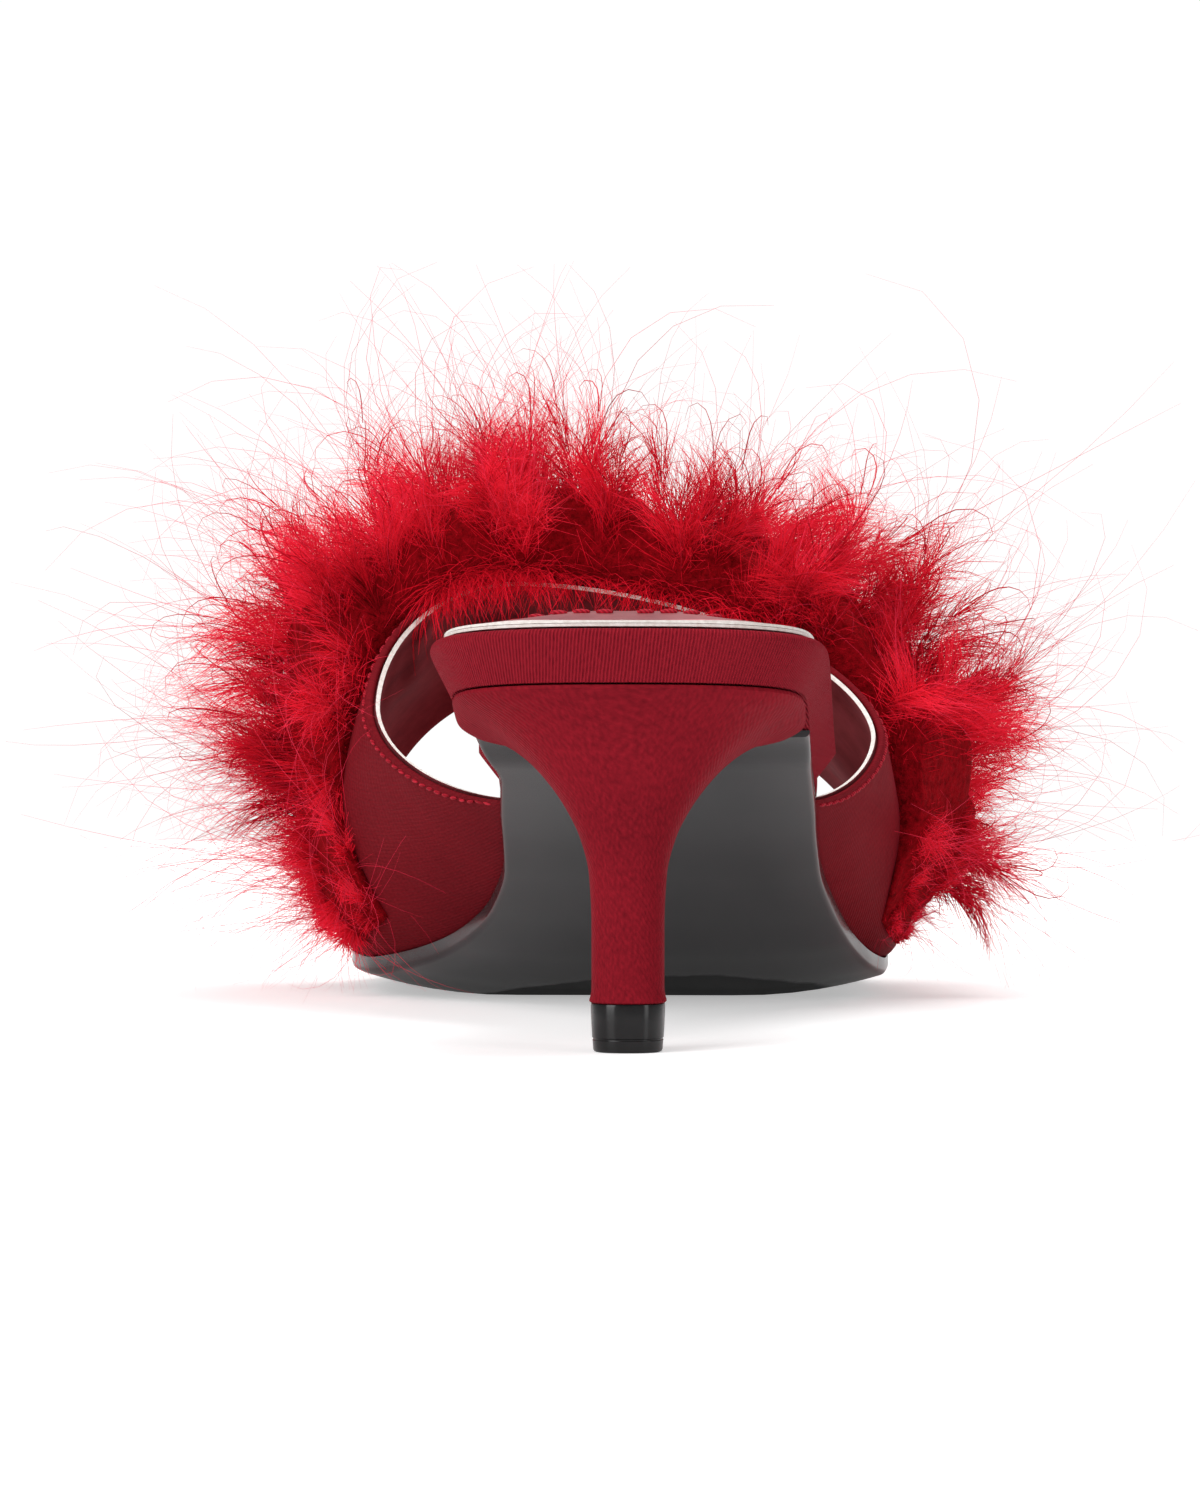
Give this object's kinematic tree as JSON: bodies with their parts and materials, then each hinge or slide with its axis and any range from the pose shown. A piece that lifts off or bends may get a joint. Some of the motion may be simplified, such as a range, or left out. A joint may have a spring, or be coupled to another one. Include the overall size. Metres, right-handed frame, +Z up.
{
  "type": "marabou slipper",
  "caption": "Backless open-toe slipper for a right foot: curved sole on a kitten heel, with an arched satin band covered in long fluffy feathers.",
  "frame": {"origin": "centre of the heel tip's underside, on the floor", "axes": "+Y from heel to toe, +Z up, +X to the outer (lateral) side of the right foot"},
  "size_m": [0.1516, 0.237, 0.0979],
  "materials": {
    "outsole_gloss": "smooth glossy black sheet",
    "red_satin": "dark red satin with a fine rib",
    "lining": "smooth glossy wine red lining with cream cut edges",
    "tip_gloss": "polished black",
    "feathers": "bright red marabou down"
  },
  "bodies": {
    "root": {"outsole": "outsole_gloss", "footbed": "red_satin", "sock": "lining", "heel": "red_satin", "heel_tip": "tip_gloss", "vamp": "red_satin", "marabou": "feathers"}
  },
  "joints": []
}
